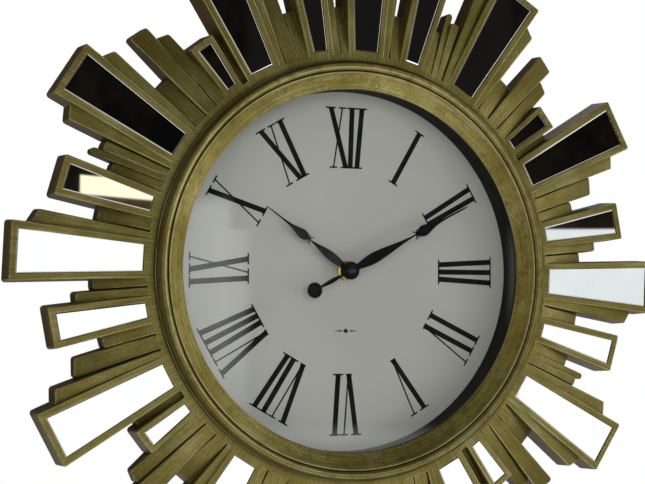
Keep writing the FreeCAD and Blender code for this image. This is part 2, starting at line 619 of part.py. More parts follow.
def movement_case():
    h, w = CASE_HALF, CASE_WALL
    shell = rounded_box(-h, h, CASE_Y0, CASE_Y1, -h, h, CASE_R)
    gears = rounded_box(-h + w, h - w, CASE_FRONT_IN, 0, BAY_Z1 + BAY_WALL, h - w, CASE_R - w)
    bay = box(-h + w, h - w, CASE_FRONT_IN - 0.4, 0, -h + w, BAY_Z1)
    shell = shell.cut([gears, bay])
    posts = [cyl(1.6, CASE_FRONT_IN - 0.1, MID_Y0, (x, z)) for x in (-23.5, 23.5) for z in (-8.8, 23.5)]
    pins = [cyl(1.0, CASE_FRONT_IN - 0.1, MID_Y1, (x, z)) for x in (-23.5, 23.5) for z in (-8.8, 23.5)]
    posts.append(cyl(0.8, CASE_FRONT_IN - 0.1, MID_Y0 - 0.1, MOTION_AT))
    socket = tube(0.9, 1.9, CASE_FRONT_IN - 0.1, -17.6, KNOB_AT)
    shell = shell.fuse(posts + pins + [socket])
    saddle = [box(x - 0.8, x + 0.8, CASE_FRONT_IN - 0.5, -16.2, -h + w - 0.1, BAY_Z1 + 0.1) for x in (-15.0, 15.0)]
    cell = Part.makeCylinder(7.4, 60, V(-30, -11.8, -19.7), V(1, 0, 0))
    shell = shell.fuse([s.cut(cell) for s in saddle])
    return shell.cut(cyl(BUSH_R, -30, -10)).removeSplitter()


def threaded_bushing():
    y1 = CASE_FRONT_IN + 0.5
    body = cyl(BUSH_R, BUSH_Y0, CASE_FRONT_IN).fuse(cyl(5.4, CASE_FRONT_IN, y1))
    grooves = [tube(BUSH_R - 0.3, BUSH_R + 1, BUSH_Y0 + 0.5 + 0.7 * i, BUSH_Y0 + 0.8 + 0.7 * i) for i in range(7)]
    return body.cut(grooves + [cyl(BUSH_BORE_R, -40, 0)])


def middle_plate():
    body = rounded_box(-26.2, 26.2, MID_Y0, MID_Y1, -10.9, 26.2, 1.5)
    posts = [cyl(1.4, MID_Y1 - 0.1, -8.0, at) for at in ((-22.0, 14.5), (-3.5, 22.8))]
    shelf = [cyl(1.4, MID_Y1 - 0.1, -9.6, at) for at in ((-23.0, -8.0), (-17.0, 1.5))]
    body = body.fuse(posts + shelf)
    holes = [cyl(1.02, -16, -13, (x, z)) for x in (-23.5, 23.5) for z in (-8.8, 23.5)]
    holes.append(cyl(REAR_ARBOR_R + 0.08, -16, -13))
    holes.append(cyl(1.28, -16, -13, KNOB_AT))
    for at in (THIRD_AT, FOURTH_AT, FIFTH_AT, ROTOR_AT):
        holes.append(cyl(PIVOT_HOLE_R, -16, -13, at))
    return body.cut(holes)


def movement_cover():
    h = CASE_HALF
    body = rounded_box(-h, h, CASE_Y1, COVER_Y1, -h, h, CASE_R)
    body = body.cut(box(-h - 1, h + 1, CASE_Y1 - 1, COVER_Y1 + 1, -h - 1, BAY_Z1))
    lip = [box(x0, x1, CASE_Y1 - 2.0, CASE_Y1 + 0.1, z0, z1) for x0, x1, z0, z1 in
           ((-h + 1.15, -h + 2.0, -6, 20), (h - 2.0, h - 1.15, -6, 20), (-18, 18, h - 1.9, h - 1.15))]
    body = body.fuse(lip)
    holes = [cyl(PIVOT_HOLE_R, -8, 0, at) for at in (THIRD_AT, FOURTH_AT, FIFTH_AT, ROTOR_AT)]
    holes += [cyl(REAR_ARBOR_R + 0.08, -8, 0), cyl(1.28, -8, 0, KNOB_AT)]
    return body.cut(holes)


def stator():
    """Two soft-iron legs joined round the rotor, with a tongue through the coil."""
    y0, y1 = -8.0, -7.2
    eye = cyl(4.2, y0, y1, ROTOR_AT)
    leg = box(-24.0, ROTOR_AT[0], y0, y1, ROTOR_AT[1] - 2.2, ROTOR_AT[1] + 2.2)
    side = box(-24.2, -20.2, y0, y1, ROTOR_AT[1] - 2.2, 24.4)
    tongue = box(-24.2, 0.0, y0, y1, 21.6, 24.0)
    inner = box(-4.6, -1.0, y0, y1, ROTOR_AT[1] + 2.0, 22.0)
    body = eye.fuse([leg, side, tongue, inner])
    slit = box(ROTOR_AT[0] - 0.3, ROTOR_AT[0] + 0.3, y0 - 1, y1 + 1, ROTOR_AT[1] - 6, ROTOR_AT[1] - 3.4)
    return body.cut([cyl(2.6, y0 - 1, y1 + 1, ROTOR_AT), slit]).removeSplitter()


def coil():
    centre = V(-19.4, -7.6, 22.8)
    bobbin = Part.makeCylinder(1.75, 13.6, centre, V(1, 0, 0))
    winding = Part.makeCylinder(2.1, 11.6, centre + V(1.0, 0, 0), V(1, 0, 0))
    flanges = [Part.makeCylinder(2.45, 0.8, centre + V(x, 0, 0), V(1, 0, 0)) for x in (0.0, 12.8)]
    slot = box(-26, 3, -8.05, -7.15, 21.55, 24.05)
    return bobbin.fuse([winding] + flanges).cut(slot)


def circuit_board():
    board = box(-26.4, -15.6, -9.6, -8.8, -10.6, 4.4)
    chip = cyl(2.6, -8.9, -7.7, (-20.6, 0.4))
    pads = [box(x, x + 1.6, -8.9, -8.6, -10.2, -8.6) for x in (-26.0, -23.4, -20.8)]
    return board.fuse([chip] + pads)


def quartz_crystal():
    can = Part.makeCylinder(1.0, 6.0, V(-17.4, -7.65, -9.2), V(0, 0, 1))
    rim = Part.makeCylinder(1.15, 0.5, V(-17.4, -7.65, -9.6), V(0, 0, 1))
    return can.fuse(rim)


def battery():
    y, z = -11.8, -19.7
    body = Part.makeCylinder(7.1, 49.0, V(-25.1, y, z), V(1, 0, 0))
    rims = [e for e in body.Edges if isinstance(e.Curve, Part.Circle)]
    body = body.makeFillet(0.6, rims)
    return body.fuse(Part.makeCylinder(2.75, 1.5, V(23.8, y, z), V(1, 0, 0)))


def contact(side):
    """Sprung strip at one end of the battery bay: side is +1 for the stud end."""
    y, z = -11.8, -19.7
    x_wall = side * (CASE_HALF - CASE_WALL)
    x0, x1 = sorted((x_wall, x_wall - side * 0.4))
    strip = box(x0, x1, -17.6, -5.6, z - 4.0, z + 4.0)
    reach = 1.2 if side > 0 else 1.4
    bump = Part.makeCone(3.0, 1.2, reach - 0.4, V(x_wall - side * 0.4, y, z), V(-side, 0, 0))
    return strip.fuse(bump)


def rubber_gasket():
    return tube(BUSH_R + 0.1, 11.0, -21.0, CASE_Y0)


def brass_washer():
    return tube(BUSH_R + 0.1, 7.2, -22.6, -22.0)


def hex_nut():
    pts = [polar(30.0 + 60.0 * i, 6.35) for i in range(6)]
    nut = plate(pts, -25.0, -22.6)
    cone = Part.makeCone(5.6, 8.0, 2.4, V(0, -25.0, 0), V(0, 1, 0))
    return nut.common(cone).cut(cyl(BUSH_R, -30, -20))


# ---------------------------------------------------------------- hands

def hand_outline(stations, y0, y1):
    """Smooth symmetric blade through (distance, half-width) stations, pointing along +Z."""
    right = [V(w, y0, s) for s, w in stations]
    left = [V(-w, y0, s) for s, w in reversed(stations)]
    edges = []
    for side in (right, left):
        curve = Part.BSplineCurve()
        curve.interpolate(side)
        edges.append(curve.toShape())
    edges.append(Part.makeLine(right[-1], left[0]))
    edges.append(Part.makeLine(left[-1], right[0]))
    wire = Part.Wire(Part.sortEdges(edges)[0])
    return Part.Face(wire).extrude(V(0, y1 - y0, 0))


def crescents(s, span, y0, y1):
    """Small cross-piece: two thin horns curving away from the blade."""
    parts = []
    for side in (-1, 1):
        centre = (0.0, s + side * (span + 0.2))
        horn = tube(span - 0.25, span + 0.45, y0, y1, centre)
        keep = box(-span * 0.98, span * 0.98, y0 - 1, y1 + 1, s - span * 0.62, s + span * 0.62)
        parts.append(horn.common(keep))
    return parts


MINUTE_LEAF = [(3.0, 1.9), (8.0, 2.45), (14.0, 3.6), (20.2, 4.05), (28.0, 3.55), (38.0, 2.35), (48.0, 1.2), (61.0, 0.5)]
MINUTE_DROP = [(59.8, 0.8), (62.2, 3.0), (65.6, 4.15), (69.5, 3.5), (74.5, 1.95), (80.5, 0.95), (90.0, 0.6), (106.8, 0.18)]
MINUTE_TAIL = [(3.0, 0.9), (9.0, 1.0), (15.5, 1.65), (21.0, 1.3), (27.5, 0.9)]
HOUR_LEAF = [(3.0, 1.8), (6.0, 2.0), (11.0, 2.8), (17.0, 3.3), (24.0, 2.6), (31.0, 1.25), (39.5, 0.5)]
HOUR_DROP = [(38.9, 0.7), (41.0, 2.6), (44.2, 3.5), (48.0, 2.95), (53.0, 1.6), (59.0, 0.8), (67.0, 0.5), (76.3, 0.18)]


def minute_hand():
    y0, y1 = MINUTE_HAND_Y, MINUTE_HAND_Y + HAND_T
    blade = hand_outline(MINUTE_LEAF, y0, y1)
    tail = hand_outline(MINUTE_TAIL, y0, y1)
    tail.rotate(V(0, 0, 0), V(0, 1, 0), 180)
    parts = [hand_outline(MINUTE_DROP, y0, y1), tail, cyl(5.65, y0, y1, (0, -31.6))]
    parts.append(cyl(MINUTE_HUB_R, y0, y1))
    parts += crescents(59.2, 3.4, y0, y1)
    parts.append(cyl(MINUTE_COLLAR_R, y0, y1 + 1.2))
    hand = blade.fuse(parts).cut(cyl(ARBOR_R, -40, 0)).removeSplitter()
    return turned(hand, -MINUTE_ANGLE)


def hour_hand():
    y0, y1 = HOUR_HAND_Y, HOUR_HAND_Y + HAND_T
    blade = hand_outline(HOUR_LEAF, y0, y1)
    parts = [hand_outline(HOUR_DROP, y0, y1), cyl(HOUR_HUB_R, y0, y1)]
    parts += crescents(38.1, 3.1, y0, y1)
    parts.append(cyl(HOUR_COLLAR_R, y0, y1 + 1.6))
    hand = blade.fuse(parts).cut(cyl(PIPE_R, -40, 0)).removeSplitter()
    return turned(hand, -HOUR_ANGLE)


def cap_nut():
    """Closed domed nut that holds the minute hand."""
    body = cyl(3.5, -33.0, -31.6).fuse(cyl(2.9, -33.8, -32.9))
    dome = Part.makeSphere(3.6, V(0, -31.9, 0))
    dome = dome.common(box(-5, 5, -36, -33.0, -5, 5))
    flats = [turned(box(3.1, 5, -33.0, -31.0, -5, 5), 60.0 * i) for i in range(6)]
    return body.fuse(dome).cut(flats + [cyl(1.4, -34.1, -31)])


# ---------------------------------------------------------------- write everything

def nodes():
    out = {"sunburst_frame": sunburst_frame()}
    out.update(mirrors())
    out["bezel_ring"] = bezel_ring()
    out["glass_lens"] = cyl(GLASS_R, FRONT_Y + BEZEL_SEAT, FRONT_Y + BEZEL_SEAT + GLASS_T)
    out["well_ring"] = well_ring()
    out["dial_plate"] = tube(DIAL_HOLE_R, DIAL_R, FRONT_Y + DIAL_DEPTH, FRONT_Y + DIAL_DEPTH + DIAL_T)
    out["rear_housing"] = rear_housing()
    out["housing_screws"] = housing_screws()
    out["hanger_plate"] = hanger_plate()
    out["hanger_screws"] = hanger_screws()
    out["movement_case"] = movement_case()
    out["movement_cover"] = movement_cover()
    out["middle_plate"] = middle_plate()
    out["threaded_bushing"] = threaded_bushing()
    out["rubber_gasket"] = rubber_gasket()
    out["brass_washer"] = brass_washer()
    out["hex_nut"] = hex_nut()
    out["minute_arbor"] = cannon_arbor()
    out["hour_wheel"] = hour_wheel()
    out["motion_wheel"] = motion_wheel()
    out["setting_knob"] = setting_knob()
    out["centre_wheel"] = centre_wheel()
    out["third_wheel"] = third_wheel()
    out["fourth_wheel"] = fourth_wheel()
    out["fifth_wheel"] = fifth_wheel()
    out["rotor"] = rotor()
    out["stator"] = stator()
    out["coil"] = coil()
    out["circuit_board"] = circuit_board()
    out["quartz_crystal"] = quartz_crystal()
    out["battery"] = battery()
    out["contact_negative"] = contact(-1)
    out["contact_positive"] = contact(1)
    out["minute_hand"] = minute_hand()
    out["hour_hand"] = hour_hand()
    out["cap_nut"] = cap_nut()
    return out


os.makedirs("parts", exist_ok=True)
for name, shape in nodes().items():
    shape.translate(V(0, -HANGER_Y1, -KEY_Z))
    bounds = shape.BoundBox
    print("%-20s valid=%s solids=%d volume=%.1f  x %.1f..%.1f  y %.2f..%.2f  z %.1f..%.1f" % (
        name, shape.isValid(), len(shape.Solids), shape.Volume,
        bounds.XMin, bounds.XMax, bounds.YMin, bounds.YMax, bounds.ZMin, bounds.ZMax))
    shape.exportStep("parts/%s.step" % name)
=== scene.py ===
import json
import math

import bmesh
import bpy
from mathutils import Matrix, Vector


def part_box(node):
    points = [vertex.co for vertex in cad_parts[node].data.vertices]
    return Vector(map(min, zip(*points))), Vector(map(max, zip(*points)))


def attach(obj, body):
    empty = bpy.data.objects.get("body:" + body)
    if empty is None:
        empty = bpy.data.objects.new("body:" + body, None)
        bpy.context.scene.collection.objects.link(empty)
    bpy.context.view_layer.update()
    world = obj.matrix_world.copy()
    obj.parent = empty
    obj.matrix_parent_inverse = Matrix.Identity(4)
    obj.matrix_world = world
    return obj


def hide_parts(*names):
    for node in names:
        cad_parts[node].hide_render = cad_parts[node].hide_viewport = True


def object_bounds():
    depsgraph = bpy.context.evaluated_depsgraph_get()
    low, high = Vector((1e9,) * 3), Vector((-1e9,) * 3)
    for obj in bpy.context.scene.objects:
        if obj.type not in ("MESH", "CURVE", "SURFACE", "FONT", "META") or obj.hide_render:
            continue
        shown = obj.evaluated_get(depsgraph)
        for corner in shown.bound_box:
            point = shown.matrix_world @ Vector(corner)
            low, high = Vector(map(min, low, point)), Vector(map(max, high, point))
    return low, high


# Looks for the sunburst wall clock, in the CAD model's frame: metres, X right, Z up, dial to -Y.
# The origin is at the hanger; AXIS_Z is the height of the hands' axis.
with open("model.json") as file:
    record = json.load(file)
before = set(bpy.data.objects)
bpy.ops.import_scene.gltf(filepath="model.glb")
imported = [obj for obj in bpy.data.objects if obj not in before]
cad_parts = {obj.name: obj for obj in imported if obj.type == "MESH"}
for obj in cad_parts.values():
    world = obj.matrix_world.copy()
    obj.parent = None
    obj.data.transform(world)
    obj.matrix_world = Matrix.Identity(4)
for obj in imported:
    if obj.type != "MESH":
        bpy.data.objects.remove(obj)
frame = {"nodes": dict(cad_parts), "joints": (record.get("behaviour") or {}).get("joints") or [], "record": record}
NODES = frame["nodes"]
CAD_LO, CAD_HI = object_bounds()

MM = 0.001
SLOT_OF = {s["node"]: s["material_slot"] for s in frame["record"]["subparts"]}
AXIS_Z = next(j for j in frame["joints"] if j["name"] == "minute_spin")["pos_m"][2]
DIAL_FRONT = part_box("dial_plate")[0].y
FACE_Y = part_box("sunburst_frame")[0].y
FACTOR_IN, COLOUR_A_IN, COLOUR_B_IN, COLOUR_OUT = 0, 6, 7, 2     # sockets of a colour Mix node


# ---------------------------------------------------------------- node helpers

class Graph:
    """Short way to write a node tree: a value is a number, a tuple or another node's output."""

    def __init__(self, tree):
        self.tree = tree

    def add(self, kind, inputs=None, **props):
        node = self.tree.nodes.new("ShaderNode" + kind)
        for key, value in props.items():
            setattr(node, key, value)
        for key, value in (inputs or {}).items():
            self.put(node.inputs[key], value)
        return node

    def put(self, socket, value):
        if isinstance(value, bpy.types.NodeSocket):
            self.tree.links.new(value, socket)
        else:
            socket.default_value = value

    def math(self, operation, a, b=0.0):
        return self.add("Math", {0: a, 1: b}, operation=operation).outputs[0]

    def coords(self):
        return self.add("TexCoord").outputs["Object"]

    def polar(self):
        """Angle in radians, radius and depth about the hand axis."""
        parts = self.add("SeparateXYZ", {0: self.coords()})
        x, y, z = parts.outputs
        z = self.math("SUBTRACT", z, AXIS_Z)
        angle = self.math("ARCTAN2", z, x)
        squares = self.math("ADD", self.math("MULTIPLY", x, x), self.math("MULTIPLY", z, z))
        radius = self.math("SQRT", squares)
        return angle, radius, y

    def vector(self, x, y, z):
        return self.add("CombineXYZ", {0: x, 1: y, 2: z}).outputs[0]

    def stretched(self, sx, sy, sz):
        return self.add("Mapping", {"Vector": self.coords(), "Scale": (sx, sy, sz)}).outputs[0]

    def noise(self, vector, scale=1.0, detail=4.0, rough=0.55):
        return self.add("TexNoise", {"Vector": vector, "Scale": scale, "Detail": detail,
                                     "Roughness": rough}).outputs["Fac"]

    def ramp(self, value, *stops):
        node = self.add("ValToRGB", {"Fac": value})
        elements = node.color_ramp.elements
        while len(elements) < len(stops):
            elements.new(0.5)
        for element, (place, colour) in zip(elements, stops):
            element.position = place
            element.color = (*colour, 1.0)
        return node.outputs["Color"]

    def level(self, value, low, high):
        """Value 0..1 spread over low..high."""
        node = self.add("MapRange", {"Value": value, "To Min": low, "To Max": high})
        return node.outputs["Result"]

    def window(self, value, start, end):
        """Smooth step from 0 at start to 1 at end."""
        node = self.add("MapRange", {"Value": value, "From Min": start, "From Max": end},
                        interpolation_type="SMOOTHSTEP")
        return node.outputs["Result"]

    def ring(self, radius, at, half):
        """1 on a circle about the hand axis, falling to 0 at half mm either side."""
        off = self.math("ABSOLUTE", self.math("SUBTRACT", radius, at * MM))
        return self.window(off, half * MM, 0.3 * half * MM)

    def between(self, a, b, span_a, span_b, soft):
        """1 inside a box of two values, with soft edges."""
        inside = None
        for value, (low, high) in ((a, span_a), (b, span_b)):
            for start, end in ((low - soft, low + soft), (high + soft, high - soft)):
                step = self.window(value, start, end)
                inside = self.math("MULTIPLY", inside, step) if inside else step
        return inside

    def mix(self, factor, a, b, blend="MIX"):
        node = self.add("Mix", data_type="RGBA", blend_type=blend)
        for index, value in ((FACTOR_IN, factor), (COLOUR_A_IN, a), (COLOUR_B_IN, b)):
            single = isinstance(value, (bpy.types.NodeSocket, float))
            self.put(node.inputs[index], value if single else (*value, 1.0))
        return node.outputs[COLOUR_OUT]

    def tint(self, value, low, high):
        """Two near colours of one material, shared out by a noise value."""
        return self.ramp(value, (0.3, low), (0.7, high))

    def bump(self, height, strength, distance, over=None):
        node = self.add("Bump", {"Height": height, "Strength": strength, "Distance": distance})
        if over:
            self.put(node.inputs["Normal"], over)
        return node.outputs["Normal"]


def material(name, **sockets):
    """A Principled material and its graph; sockets are given with _ for spaces."""
    made = bpy.data.materials.new(name)
    made.use_nodes = True
    graph = Graph(made.node_tree)
    shader = made.node_tree.nodes["Principled BSDF"]
    for key, value in sockets.items():
        graph.put(shader.inputs[key.replace("_", " ")], value)
    return made, graph, shader


# ---------------------------------------------------------------- materials

DARK_GOLD, MID_GOLD = (0.110, 0.084, 0.015), (0.232, 0.193, 0.051)
LIGHT_GOLD = (0.430, 0.398, 0.180)
# The next two colours are painted highlights: one on the edges, one on the bezel's bead and ridge crests.
EDGE_HIGHLIGHT_GOLD, CREST_HIGHLIGHT_GOLD = (0.700, 0.640, 0.360), (0.640, 0.580, 0.330)
# The first colour is painted shade in the bezel's grooves; the second is a random brown wash.
GROOVE_SHADE, WASH_BROWN = (0.050, 0.038, 0.014), (0.085, 0.062, 0.020)
# Painted shade: the first colour darkens the sunk bars, the second the corners.
SUNK_SHADE, CORNER_SHADE = (0.085, 0.060, 0.012), (0.042, 0.031, 0.010)
# Painted shade, multiplied into faces that turn away from the front.
WALL_SHADE = (0.30, 0.21, 0.09)
GROOVES = ((142.4, 0.55), (148.4, 1.7))          # radius and half width on the bezel, mm
CRESTS = ((141.35, 0.45), (144.8, 0.55))
# The painted shade on sunk bars grows between these depths.
SUNK_FROM, SUNK_TO = 1.0, 11.0                   # depth behind the frame's front, mm
# Radius of the rounded edge normal, which places the painted edge highlight and rounds the shading of edges; and
# how far the painted corner shade reaches.
EDGE_RADIUS, CORNER_REACH = 0.7, 6               # mm


def gold(name, along_ray):
    """Antique gold paint with brush streaks; painted highlight on edges and bezel crests, painted shade on side
    walls, in corners, in bezel grooves and on sunk bars.
    """
    made, g, shader = material(name, Specular_IOR_Level=0.12)
    angle, radius, depth = g.polar()
    strokes = (300.0, 22.0, 300.0) if along_ray else (3.2, 620.0, 620.0)
    lines = g.vector(*(g.math("MULTIPLY", value, scale)
                       for value, scale in zip((angle, radius, depth), strokes)))
    fine = g.noise(lines, 1.0, 3.0, 0.6)
    blotch = g.noise(g.coords(), 26.0, 3.0)
    grain = g.noise(g.coords(), 900.0, 2.0)
    tone = g.math("ADD", g.math("MULTIPLY", fine, 0.36), g.math("MULTIPLY", blotch, 0.38))
    tone = g.math("ADD", tone, g.math("MULTIPLY", grain, 0.26))
    paint = g.ramp(tone, (0.32, DARK_GOLD), (0.50, MID_GOLD), (0.68, LIGHT_GOLD))
    if not along_ray:
        groove_shade = g.math("MAXIMUM", *(g.ring(radius, *place) for place in GROOVES))
        crest_highlight = g.math("MAXIMUM", *(g.ring(radius, *place) for place in CRESTS))
        # Painted shade in the grooves.
        paint = g.mix(g.math("MULTIPLY", groove_shade, 0.80), paint, GROOVE_SHADE)
        # Painted highlight on the bead and ridge crests.
        paint = g.mix(g.math("MULTIPLY", crest_highlight, 0.55), paint, CREST_HIGHLIGHT_GOLD)
        wash = g.window(g.noise(g.coords(), 170.0, 5.0, 0.65), 0.50, 0.64)
        paint = g.mix(g.math("MULTIPLY", wash, 0.42), paint, WASH_BROWN)
    normal = g.add("NewGeometry").outputs["Normal"]
    rounded = g.add("Bevel", {"Radius": EDGE_RADIUS * MM}, samples=4).outputs["Normal"]
    turn = g.add("VectorMath", {0: rounded, 1: normal}, operation="DOT_PRODUCT").outputs["Value"]
    # Painted highlight: edges, where the rounded normal turns away from the true one, are lightened, broken up by
    # the streaks.
    edge_highlight = g.math("MULTIPLY", g.window(turn, 0.995, 0.93), g.window(fine, 0.36, 0.56))
    facing = g.add("SeparateXYZ", {0: normal}).outputs[1]
    front = g.window(g.math("MULTIPLY", facing, -1.0), 0.15, 0.85)
    # Painted shade: bars that lie further behind the front are darkened.
    if along_ray:
        sunk_shade = g.window(depth, FACE_Y + SUNK_FROM * MM, FACE_Y + SUNK_TO * MM)
        paint = g.mix(g.math("MULTIPLY", sunk_shade, 0.55), paint, SUNK_SHADE)
    # Painted shade: faces that turn away from the front are darkened.
    shaded_walls = g.mix(0.9, paint, WALL_SHADE, "MULTIPLY")
    paint = g.mix(front, shaded_walls, paint)
    # Painted highlight on the edges.
    paint = g.mix(g.math("MULTIPLY", edge_highlight, 0.90), paint, EDGE_HIGHLIGHT_GOLD)
    # Painted shade in corners, from ambient occlusion.
    corner = g.add("AmbientOcclusion", {"Distance": CORNER_REACH * MM}, samples=6).outputs["AO"]
    paint = g.mix(g.window(corner, 0.25, 0.85), CORNER_SHADE, paint)
    g.put(shader.inputs["Base Color"], paint)
    g.put(shader.inputs["Metallic"], g.level(front, 0.10, 0.76))
    g.put(shader.inputs["Roughness"], g.level(fine, 0.28, 0.46))
    g.put(shader.inputs["Normal"], g.bump(fine, 0.16, 0.10 * MM, rounded))
    return made


def mirror(name):
    """Silvered glass with a trace of haze."""
    made, g, shader = material(name, Metallic=1.0)
    haze = g.noise(g.coords(), 45.0, 3.0)
    g.put(shader.inputs["Base Color"], g.tint(haze, (0.84, 0.86, 0.86), (0.90, 0.915, 0.915)))
    g.put(shader.inputs["Roughness"], g.level(haze, 0.004, 0.02))
    return made


def glass(name):
    """Flat clear glass that lets lamps through."""
    made, g, shader = material(name, Transmission_Weight=1.0, IOR=1.45, Roughness=0.0)
    smear = g.noise(g.stretched(9.0, 1.0, 4.0), 1.0, 3.0)
    g.put(shader.inputs["Base Color"], g.tint(smear, (0.965, 0.975, 0.970), (0.985, 0.990, 0.988)))
    output = made.node_tree.nodes["Material Output"]
    clear = g.add("BsdfTransparent", {"Color": (0.93, 0.94, 0.935, 1.0)})
    shadow = g.add("LightPath").outputs["Is Shadow Ray"]
    both = g.add("MixShader", {0: shadow, 1: shader.outputs[0], 2: clear.outputs[0]})
    g.put(output.inputs["Surface"], both.outputs[0])
    return made


def dial_sheet(name):
    """Pale warm grey satin print with a very fine grain."""
    made, g, shader = material(name, Metallic=0.0)
    grain = g.noise(g.coords(), 2600.0, 2.0)
    cloud = g.noise(g.coords(), 9.0, 2.0)
    tone = g.math("ADD", g.math("MULTIPLY", grain, 0.35), g.math("MULTIPLY", cloud, 0.65))
    sheet = g.ramp(tone, (0.35, (0.352, 0.354, 0.328)), (0.65, (0.390, 0.393, 0.365)))
    g.put(shader.inputs["Base Color"], sheet)
    g.put(shader.inputs["Roughness"], g.level(grain, 0.42, 0.54))
    g.put(shader.inputs["Normal"], g.bump(grain, 0.12, 0.03 * MM))
    return made


def moulded(name, low, high, rough=(0.45, 0.6), grain=1400.0, bump=0.25, specular=0.5):
    """Moulded plastic or rubber: slight mottling and a fine spark-eroded grain."""
    made, g, shader = material(name, Specular_IOR_Level=specular)
    skin = g.noise(g.coords(), grain, 3.0)
    flow = g.noise(g.coords(), 60.0, 3.0)
    g.put(shader.inputs["Base Color"], g.tint(flow, low, high))
    g.put(shader.inputs["Roughness"], g.level(skin, *rough))
    g.put(shader.inputs["Normal"], g.bump(skin, bump, 0.05 * MM))
    return made


def metal(name, low, high, rough=(0.2, 0.38), stretch=(900.0, 60.0, 60.0)):
    """Bare or plated metal with fine drawn or turned lines."""
    made, g, shader = material(name, Metallic=1.0)
    lines = g.noise(g.stretched(*stretch), 1.0, 5.0)
    stain = g.noise(g.coords(), 90.0, 3.0)
    g.put(shader.inputs["Base Color"], g.ramp(stain, (0.3, low), (0.72, high)))
    g.put(shader.inputs["Roughness"], g.level(lines, *rough))
    g.put(shader.inputs["Normal"], g.bump(lines, 0.18, 0.03 * MM))
    return made


def enamel(name, specular, rough):
    """Black baked enamel."""
    made, g, shader = material(name, Specular_IOR_Level=specular)
    peel = g.noise(g.coords(), 800.0, 2.0)
    g.put(shader.inputs["Base Color"], g.tint(peel, (0.003, 0.003, 0.003), (0.006, 0.006, 0.007)))
    g.put(shader.inputs["Roughness"], g.level(peel, *rough))
    g.put(shader.inputs["Normal"], g.bump(peel, 0.08, 0.02 * MM))
    return made


def copper(name):
    """Fine enamelled wire, wound round the X axis."""
    made, g, shader = material(name, Metallic=0.9)
    wave = {"Vector": g.coords(), "Scale": 1100.0, "Distortion": 0.6, "Detail": 2.0}
    turns = g.add("TexWave", wave, bands_direction="X").outputs["Fac"]
    wire = g.ramp(turns, (0.1, (0.17, 0.045, 0.013)), (0.8, (0.58, 0.22, 0.085)))
    g.put(shader.inputs["Base Color"], wire)
    g.put(shader.inputs["Roughness"], g.level(turns, 0.25, 0.5))
    g.put(shader.inputs["Normal"], g.bump(turns, 0.6, 0.06 * MM))
    return made


def board(name):
    """Green solder mask over faint tracks."""
    made, g, shader = material(name, Coat_Weight=0.3, Coat_Roughness=0.2)
    tracks = g.add("TexBrick", {
        "Vector": g.stretched(420.0, 1.0, 420.0), "Scale": 1.0, "Mortar Size": 0.07,
        "Color1": (0.010, 0.105, 0.040, 1.0), "Color2": (0.014, 0.135, 0.050, 1.0),
        "Mortar": (0.020, 0.205, 0.078, 1.0),
    })
    speck = g.noise(g.coords(), 700.0, 2.0)
    g.put(shader.inputs["Base Color"], tracks.outputs["Color"])
    g.put(shader.inputs["Roughness"], g.level(speck, 0.25, 0.42))
    g.put(shader.inputs["Normal"], g.bump(tracks.outputs["Fac"], 0.2, 0.04 * MM))
    return made


BAND_FROM, STUD_FROM, BASE_TO = 0.74, 0.958, 0.012     # shares of the cell's length


def cell_sleeve(name):
    """Dry cell: plain dark sleeve with one copper band, bright steel at the stud and base."""
    made, g, shader = material(name, Coat_Weight=0.35, Coat_Roughness=0.1)
    low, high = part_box("battery")
    x = g.add("SeparateXYZ", {0: g.coords()}).outputs[0]
    share = g.math("DIVIDE", g.math("SUBTRACT", x, low.x), high.x - low.x)
    print_grain = g.noise(g.coords(), 500.0, 2.0)
    sleeve = g.tint(print_grain, (0.018, 0.020, 0.024), (0.030, 0.033, 0.038))
    band = g.tint(print_grain, (0.42, 0.19, 0.07), (0.50, 0.24, 0.09))
    steel = g.tint(print_grain, (0.50, 0.50, 0.49), (0.62, 0.62, 0.60))
    on_band = g.math("GREATER_THAN", share, BAND_FROM)
    ends = g.math("MAXIMUM", g.math("GREATER_THAN", share, STUD_FROM),
                  g.math("LESS_THAN", share, BASE_TO))
    g.put(shader.inputs["Base Color"], g.mix(ends, g.mix(on_band, sleeve, band), steel))
    g.put(shader.inputs["Metallic"], g.math("MAXIMUM", ends, g.math("MULTIPLY", on_band, 0.8)))
    g.put(shader.inputs["Roughness"], g.level(print_grain, 0.2, 0.34))
    return made


def ink(name):
    """Black screen print, a little uneven."""
    made, g, shader = material(name, Specular_IOR_Level=0.1)
    spread = g.noise(g.coords(), 900.0, 3.0)
    g.put(shader.inputs["Base Color"], g.tint(spread, (0.003, 0.003, 0.003), (0.007, 0.007, 0.006)))
    g.put(shader.inputs["Roughness"], g.level(spread, 0.42, 0.6))
    return made


def pale(name):
    """Pale floor with a little light of its own, so that it meets the white background."""
    made, g, shader = material(name, Emission_Color=(1.0, 1.0, 1.0, 1.0), Emission_Strength=0.35)
    dust = g.noise(g.coords(), 3.0, 3.0)
    g.put(shader.inputs["Base Color"], g.tint(dust, (0.86, 0.86, 0.85), (0.90, 0.90, 0.89)))
    g.put(shader.inputs["Roughness"], g.level(dust, 0.7, 0.8))
    return made


